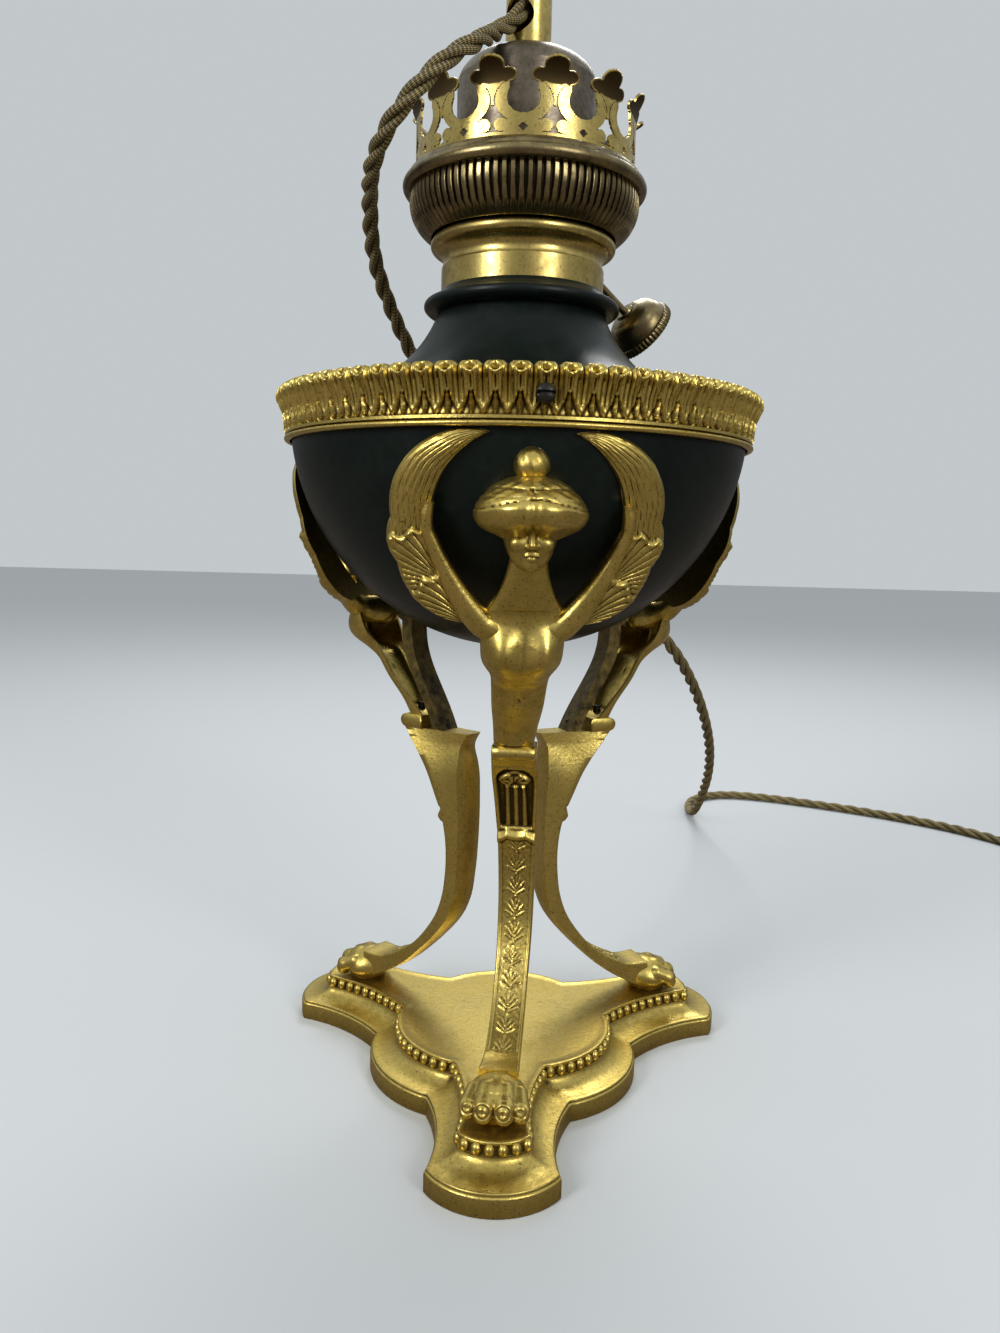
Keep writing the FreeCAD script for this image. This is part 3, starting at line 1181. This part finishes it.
def lampholder_sleeve():
    """The bayonet sleeve inside a threaded skirt, on one floor ring, with two hooked slots."""
    floor = HOLDER_TOP + SLEEVE_FLOOR
    sleeve_r = SLEEVE_BORE_R + SLEEVE_WALL
    skirt_top = floor + SKIRT_HEIGHT
    body = spun((SLEEVE_BORE_R, HOLDER_TOP), (HOLDER_R, HOLDER_TOP), (HOLDER_R, floor), (SKIRT_R, floor),
                (SKIRT_R, skirt_top), (SKIRT_R - SKIRT_WALL, skirt_top), (SKIRT_R - SKIRT_WALL, floor),
                (sleeve_r, floor), (sleeve_r, SLEEVE_TOP), (SLEEVE_BORE_R, SLEEVE_TOP))
    slots = []
    for angle in (0, 180):
        drop = block(SLEEVE_BORE_R, BAYONET_WIDTH, BAYONET_DEPTH + OVERRUN, SLEEVE_BORE_R, 0,
                     SLEEVE_TOP - BAYONET_DEPTH)
        hook = block(SLEEVE_BORE_R, BAYONET_WIDTH + BAYONET_TURN, BAYONET_WIDTH, SLEEVE_BORE_R,
                     BAYONET_TURN / 2, SLEEVE_TOP - BAYONET_DEPTH)
        slots += [turned(drop, angle), turned(hook, angle)]
    return less(body, *slots)


def shade_ring(index):
    """A milled ring on the skirt's thread. A shade's gimbal is clamped between the two."""
    foot = HOLDER_TOP + SLEEVE_FLOOR + SHADE_RING_HEIGHT / 2 + index * SHADE_RING_SPACING
    top = foot + SHADE_RING_HEIGHT
    edge = SHADE_RING_HEIGHT / 4
    return spun((SKIRT_R, foot), (SHADE_RING_R - edge, foot), (SHADE_RING_R, foot + edge, -QUARTER),
                (SHADE_RING_R, top - edge), (SHADE_RING_R - edge, top, -QUARTER), (SKIRT_R, top))


# Flex: straight runs joined by arcs as large as the runs allow
def least_radius(points):
    return min(corner_radius(*trio) for trio in zip(points, points[1:], points[2:]))


def corner_radius(before, corner, after):
    first = corner - before
    second = after - corner
    half_turn = first.getAngle(second) / 2
    return BEND_SHARE * min(first.Length, second.Length) / math.tan(half_turn)


def routed(points):
    """A wire of straight runs and tangent arcs through the route's points."""
    edges = []
    here = points[0]
    for before, corner, after in zip(points, points[1:], points[2:]):
        back = (before - corner).normalize()
        ahead = (after - corner).normalize()
        cut = BEND_SHARE * min((before - corner).Length, (after - corner).Length)
        enter = corner + back * cut
        leave = corner + ahead * cut
        bisector = (back + ahead).normalize()
        half = back.getAngle(ahead) / 2
        radius = cut * math.tan(half)
        middle = corner + bisector * (radius / math.sin(half) - radius)
        edges.append(Part.LineSegment(here, enter).toShape())
        edges.append(Part.Arc(enter, middle, leave).toShape())
        here = leave
    edges.append(Part.LineSegment(here, points[-1]).toShape())
    return Part.Wire(edges)


def pipe(path, radius):
    """A round section carried along a wire."""
    edge = path.Edges[0]
    direction = edge.tangentAt(edge.FirstParameter)
    section = Part.Wire(Part.makeCircle(radius, path.Vertexes[0].Point, direction))
    return path.makePipeShell([section], True, False)


def biarc(start, start_way, end, end_way):
    """Two tangent arcs between two points with given directions."""
    span = end - start
    ways = start_way + end_way
    a = 2 * (1 - start_way.dot(end_way))
    b = 2 * span.dot(ways)
    c = -span.dot(span)
    reach = (-b + math.sqrt(b * b - 4 * a * c)) / (2 * a)
    joint = (start + start_way * reach + end - end_way * reach) * MID
    return [arc_from(start, start_way, joint), arc_from(end, end_way * -1, joint, True)]


def arc_from(start, way, end, reverse=False):
    """An arc that leaves its start in the given direction."""
    chord = end - start
    side = chord.cross(way).cross(chord).normalize()
    angle = chord.getAngle(way)
    middle = start + chord * MID + side * (chord.Length / 2 * math.tan(angle / 2))
    if reverse:
        return Part.Arc(end, middle, start).toShape()
    return Part.Arc(start, middle, end).toShape()


def route_points():
    return [V(*point) for point in CORD_ROUTE]


def flex():
    points = route_points()
    path = routed(points)
    print("flex length %.1f, least bend radius %.1f" % (path.Length, least_radius(points)))
    solid = pipe(path, CORD_R)
    tube_volume = math.pi * CORD_R ** 2 * path.Length
    print("flex volume against section times length %.4f" % (solid.Volume / tube_volume))
    return solid


def coil_pitch():
    return 2 * CORD_R + COIL_GAP


def coil_radius():
    """Of the innermost turn, so that the turns lie evenly about the coil's mean radius."""
    return COIL_R - COIL_TURNS * coil_pitch() / 2


def coil_centre():
    return V(*CORD_ROUTE[-1]) + V(coil_radius() + COIL_TURNS * coil_pitch(), 0, 0)


def coil_place(turn):
    """Point and direction on the coil: in along the lower layer, up half a turn, out on the upper one."""
    pitch = coil_pitch()
    rise = min(max(turn - COIL_TURNS, 0), COIL_CLIMB_TURN) / COIL_CLIMB_TURN
    lift = pitch * rise * rise * (3 - 2 * rise)
    climb = pitch * 6 * rise * (1 - rise) / COIL_CLIMB_TURN / (2 * math.pi)
    inward = max(COIL_TURNS - turn, 0)
    outward = max(turn - COIL_TURNS - COIL_CLIMB_TURN, 0)
    dip = pitch * COIL_DIP_SHARE * math.sin(math.pi * rise) ** 2
    radius = coil_radius() + pitch * (inward + outward) - dip
    slide = pitch * (2 * rise - 1) / (2 * math.pi)
    angle = math.pi + 2 * math.pi * turn
    out = V(math.cos(angle), math.sin(angle), 0)
    ahead = V(-math.sin(angle), math.cos(angle), 0)
    way = (ahead * radius + out * slide + UP * climb).normalize()
    return coil_centre() + out * radius + UP * lift, way


def coil_wire():
    """Biarcs of a quarter turn, then a straight end to the plug."""
    turns = 2 * COIL_TURNS + COIL_CLIMB_TURN
    steps = round(4 * turns)
    places = [coil_place(index / 4) for index in range(steps + 1)]
    places[0] = (places[0][0], V(0, -1, 0))
    places[-1] = (places[-1][0], V(0, 1, 0))
    edges = []
    for (start, way), (end, end_way) in zip(places, places[1:]):
        edges += biarc(start, way, end, end_way)
    end = places[-1][0]
    edges.append(Part.LineSegment(end, end + V(0, COIL_TAIL, 0)).toShape())
    return Part.Wire(edges)


def coil_end():
    return coil_place(2 * COIL_TURNS + COIL_CLIMB_TURN)[0] + V(0, COIL_TAIL, 0)


def flex_coil():
    path = coil_wire()
    samples = path.discretize(Distance=COIL_STEP)
    least = min((a - b).Length for index, a in enumerate(samples) for b in samples[index + COIL_SKIP:])
    print("coil length %.1f, least gap to itself %.2f" % (path.Length, least - 2 * CORD_R))
    return pipe(path, CORD_R)


def coil_tie():
    """A flat band round the turns, on the side nearest the lamp's front."""
    pitch = coil_pitch()
    centre = coil_centre()
    length = (COIL_TURNS - MID) * pitch + 2 * (CORD_R + TIE_SIDE_GAP)
    height = pitch + 2 * (CORD_R + TIE_FIT)
    foot = centre.z - CORD_R - TIE_FIT
    middle = centre.y - COIL_R
    outer = block(TIE_WIDTH, length + 2 * TIE_WALL, height + 2 * TIE_WALL, centre.x, middle, foot - TIE_WALL)
    inner = block(TIE_WIDTH + OVERRUN, length, height, centre.x, middle, foot)
    return less(outer, inner)


def tube_leads():
    """The flex inside the tube, from the lampholder down and out through the hole."""
    end, ahead = route_points()[:2]
    slope = (end.z - ahead.z) / (math.hypot(ahead.x, ahead.y) - math.hypot(end.x, end.y))
    corner = V(0, 0, end.z + slope * math.hypot(end.x, end.y))
    top = V(0, 0, HOLDER_SHOULDER)
    return pipe(routed([top, corner, end]), CORD_R)


# Plug, lying on its back with its pins up
def plug_block(foot, height):
    width, length, _ = PLUG_SIZE
    entry = coil_end()
    box = block(width, length, height, entry.x, entry.y + length / 2, foot)
    upright = [edge for edge in box.Edges if abs(edge.tangentAt(edge.FirstParameter).z) > HALF]
    return box.makeFillet(PLUG_CORNER, upright)


def plug_centre():
    return V(coil_end().x, coil_end().y + PLUG_SIZE[1] / 2, 0)


def plug_pin_places():
    width, length, thick = PLUG_SIZE
    earth = plug_centre() + V(0, PIN_DROP / 2, thick)
    side = V(PIN_SPREAD / 2, -PIN_DROP, 0)
    return [(earth, PIN_EARTH[1], PIN_EARTH[0], PIN_EARTH[2]),
            (earth + side, PIN_LIVE[0], PIN_LIVE[1], PIN_LIVE[2]),
            (earth + V(-side.x, side.y, 0), PIN_LIVE[0], PIN_LIVE[1], PIN_LIVE[2])]


def plug_pins():
    pins = []
    for place, width, depth, length in plug_pin_places():
        pin = block(width, depth, length + PIN_ROOT, place.x, place.y, place.z - PIN_ROOT)
        pins.append(pin)
    return Part.Compound(pins)


def plug_screw():
    thick = PLUG_SIZE[2]
    screw = slotted_screw(PLUG_SCREW_HEAD_R, PLUG_SCREW_HEAD_HEIGHT, PLUG_SCREW_R, thick - PLUG_COVER)
    return screw.translated(plug_centre() + V(0, 0, thick - PLUG_SCREW_HEAD_HEIGHT))


def plug_body():
    thick = PLUG_SIZE[2]
    body = plug_block(PLUG_COVER, thick - PLUG_COVER)
    seat = plug_centre() + V(0, 0, thick - PLUG_SCREW_HEAD_HEIGHT)
    recess = rod(PLUG_SCREW_HEAD_R + SCREW_CLEARANCE, PLUG_SCREW_HEAD_HEIGHT + OVERRUN, seat)
    hole = rod(PLUG_SCREW_R, thick, plug_centre())
    return less(body, recess, hole, plug_pins())


def plug_cover():
    hole = rod(PLUG_SCREW_R, PLUG_COVER, plug_centre() + V(0, 0, PLUG_COVER - PLUG_SCREW_HEAD_HEIGHT))
    return less(plug_block(0, PLUG_COVER), hole)


def nodes():
    """Every piece by name."""
    pieces = {"base_plinth": base_plinth(), "paw_screws": paw_screws()}
    for side, azimuth in FOOT_AZIMUTHS.items():
        pieces["leg_" + side] = on_leg(plain_leg(), azimuth)
        pieces["support_arm_" + side] = support_arm(azimuth)
        pieces["figure_" + side] = figure_casting(azimuth)
        pieces["wings_" + side] = wings(azimuth)
    pieces.update({
        "arm_dowels": arm_dowels(), "waist_dowels": waist_dowels(), "bowl_screws": bowl_screws(),
        "bowl": bowl(), "rim_ring": rim_ring(), "rim_screws": rim_screws(),
        "shoulder_cover": shoulder_cover(), "font": font(), "collar": collar(),
        "burner_body": burner_body(), "winder_bush": winder_bush(), "winder_shaft": winder_shaft(),
        "winder_knob": winder_knob(), "wick_tube": wick_tube(), "draught_tube": draught_tube(),
        "wick": wick(), "wick_carrier": wick_carrier(), "basket": basket(),
        "gallery_ring": gallery_ring(), "gallery_crown": gallery_crown(),
        "adapter_dome": adapter_dome(), "lamp_tube": lamp_tube(), "tube_nut": tube_nut(),
        "lampholder_cap": lampholder_cap(), "lampholder_sleeve": lampholder_sleeve(),
        "insulator": insulator(), "push_bar": push_bar(),
        "plunger_left": plunger(-1), "plunger_right": plunger(1),
        "plunger_spring_left": plunger_spring(-1), "plunger_spring_right": plunger_spring(1),
        "shade_ring_lower": shade_ring(0), "shade_ring_upper": shade_ring(1),
        "tube_leads": tube_leads(), "flex": flex(), "flex_coil": flex_coil(), "coil_tie": coil_tie(),
        "plug_body": plug_body(), "plug_cover": plug_cover(), "plug_pins": plug_pins(),
        "plug_screw": plug_screw(),
    })
    return pieces


os.makedirs("parts", exist_ok=True)
for name, shape in nodes().items():
    shape.exportStep("parts/%s.step" % name)
    print("%-18s solids %d, valid %s, volume %.1f" % (name, len(shape.Solids), shape.isValid(), shape.Volume))
